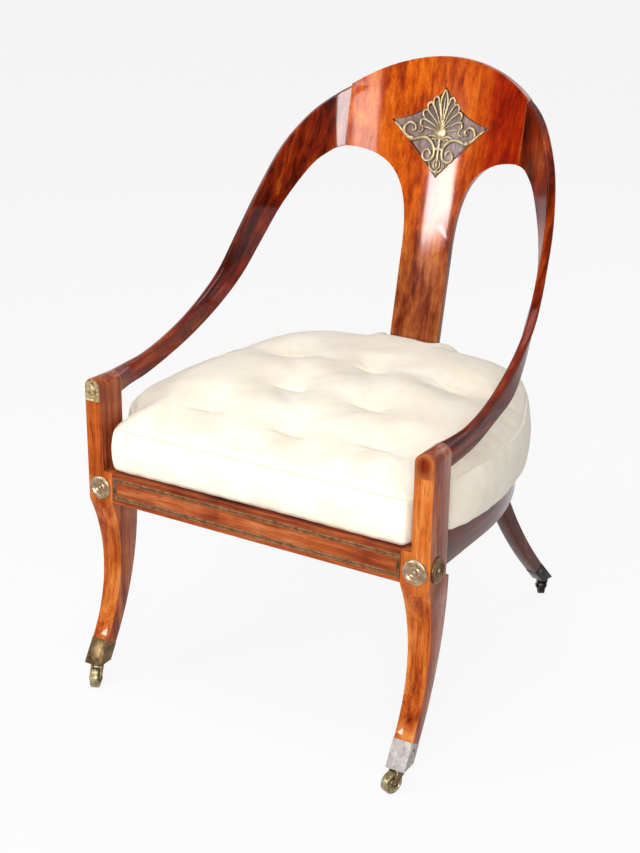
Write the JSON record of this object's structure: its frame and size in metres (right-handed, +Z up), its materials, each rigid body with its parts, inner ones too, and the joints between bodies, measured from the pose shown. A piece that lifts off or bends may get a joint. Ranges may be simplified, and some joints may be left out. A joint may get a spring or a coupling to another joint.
{
  "type": "spoon back armchair",
  "caption": "Regency spoon back armchair with swept arms, sabre legs on brass castors, a loose tufted squab on a caned seat and a brass palmette on the crest.",
  "frame": {"origin": "on the floor, midway between the outermost points of the chair left to right and front to back", "axes": "+X towards the sitter's left hand side as seen from the front, which is the right of the picture; +Y from the front to the back; +Z up"},
  "size_m": [0.5556, 0.6605, 0.86],
  "materials": {
    "polished_wood": "french polished, glossy",
    "dark_wood": "polished",
    "plain_wood": "unpolished",
    "plaque_ground": "satin",
    "cane": "natural cane",
    "cushion_cloth": "matt cotton",
    "aged_brass": "aged",
    "screw_steel": "dull"
  },
  "bodies": {
    "frame": {"crest_splat": "polished_wood", "left_arm": "polished_wood", "right_arm": "polished_wood", "arm_dowels": "plain_wood", "front_left_leg": "polished_wood", "front_right_leg": "polished_wood", "rear_left_leg": "polished_wood", "rear_right_leg": "polished_wood", "front_rail": "polished_wood", "left_side_rail": "polished_wood", "right_side_rail": "polished_wood", "back_rail": "polished_wood", "front_left_block": "plain_wood", "front_right_block": "plain_wood", "rear_left_block": "plain_wood", "rear_right_block": "plain_wood", "block_screws": "screw_steel", "cane_panel": "cane", "cane_spline": "cane", "front_left_rosette": "aged_brass", "front_right_rosette": "aged_brass", "left_side_rosette": "aged_brass", "right_side_rosette": "aged_brass", "rosette_nails": "aged_brass", "rail_beading": "aged_brass", "plaque_ground": "plaque_ground", "plaque_border": "dark_wood", "plaque_ornament": "aged_brass", "left_post_tablet": "aged_brass", "right_post_tablet": "dark_wood", "front_left_cup": "aged_brass", "front_right_cup": "aged_brass", "rear_left_cup": "aged_brass", "rear_right_cup": "aged_brass", "cup_screws": "aged_brass", "front_left_pintle": "aged_brass", "front_right_pintle": "aged_brass", "rear_left_pintle": "aged_brass", "rear_right_pintle": "aged_brass"},
    "squab": {"seat_cushion": "cushion_cloth"},
    "front_left_swivel": {"front_left_horn": "aged_brass", "front_left_axle": "screw_steel"},
    "front_left_roller": {"front_left_wheel": "aged_brass"},
    "front_right_swivel": {"front_right_horn": "aged_brass", "front_right_axle": "screw_steel"},
    "front_right_roller": {"front_right_wheel": "aged_brass"},
    "rear_left_swivel": {"rear_left_horn": "aged_brass", "rear_left_axle": "screw_steel"},
    "rear_left_roller": {"rear_left_wheel": "aged_brass"},
    "rear_right_swivel": {"rear_right_horn": "aged_brass", "rear_right_axle": "screw_steel"},
    "rear_right_roller": {"rear_right_wheel": "aged_brass"}
  },
  "joints": [
    {"name": "squab_lift", "type": "slide", "parent": "frame", "child": "squab", "axis": [0, 0, 1], "range_m": [0, 0.002]},
    {"name": "front_left_swivel_turn", "type": "hinge", "parent": "frame", "child": "front_left_swivel", "pos_m": [-0.2495, -0.30275, 0.0305], "axis": [0, 0, 1], "continuous": true},
    {"name": "front_left_wheel_roll", "type": "hinge", "parent": "front_left_swivel", "child": "front_left_roller", "pos_m": [-0.24421, -0.31462, 0.0145], "axis": [0.9135, 0.4067, 0], "continuous": true},
    {"name": "front_right_swivel_turn", "type": "hinge", "parent": "frame", "child": "front_right_swivel", "pos_m": [0.2495, -0.30275, 0.0305], "axis": [0, 0, 1], "continuous": true},
    {"name": "front_right_wheel_roll", "type": "hinge", "parent": "front_right_swivel", "child": "front_right_roller", "pos_m": [0.24527, -0.31504, 0.0145], "axis": [0.9455, -0.3256, 0], "continuous": true},
    {"name": "rear_left_swivel_turn", "type": "hinge", "parent": "frame", "child": "rear_left_swivel", "pos_m": [-0.18751, 0.30368, 0.0305], "axis": [0, 0, 1], "continuous": true},
    {"name": "rear_left_wheel_roll", "type": "hinge", "parent": "rear_left_swivel", "child": "rear_left_roller", "pos_m": [-0.18101, 0.31494, 0.0145], "axis": [-0.866, 0.5, 0], "continuous": true},
    {"name": "rear_right_swivel_turn", "type": "hinge", "parent": "frame", "child": "rear_right_swivel", "pos_m": [0.18751, 0.30368, 0.0305], "axis": [0, 0, 1], "continuous": true},
    {"name": "rear_right_wheel_roll", "type": "hinge", "parent": "rear_right_swivel", "child": "rear_right_roller", "pos_m": [0.18141, 0.31516, 0.0145], "axis": [-0.8829, -0.4695, 0], "continuous": true}
  ]
}
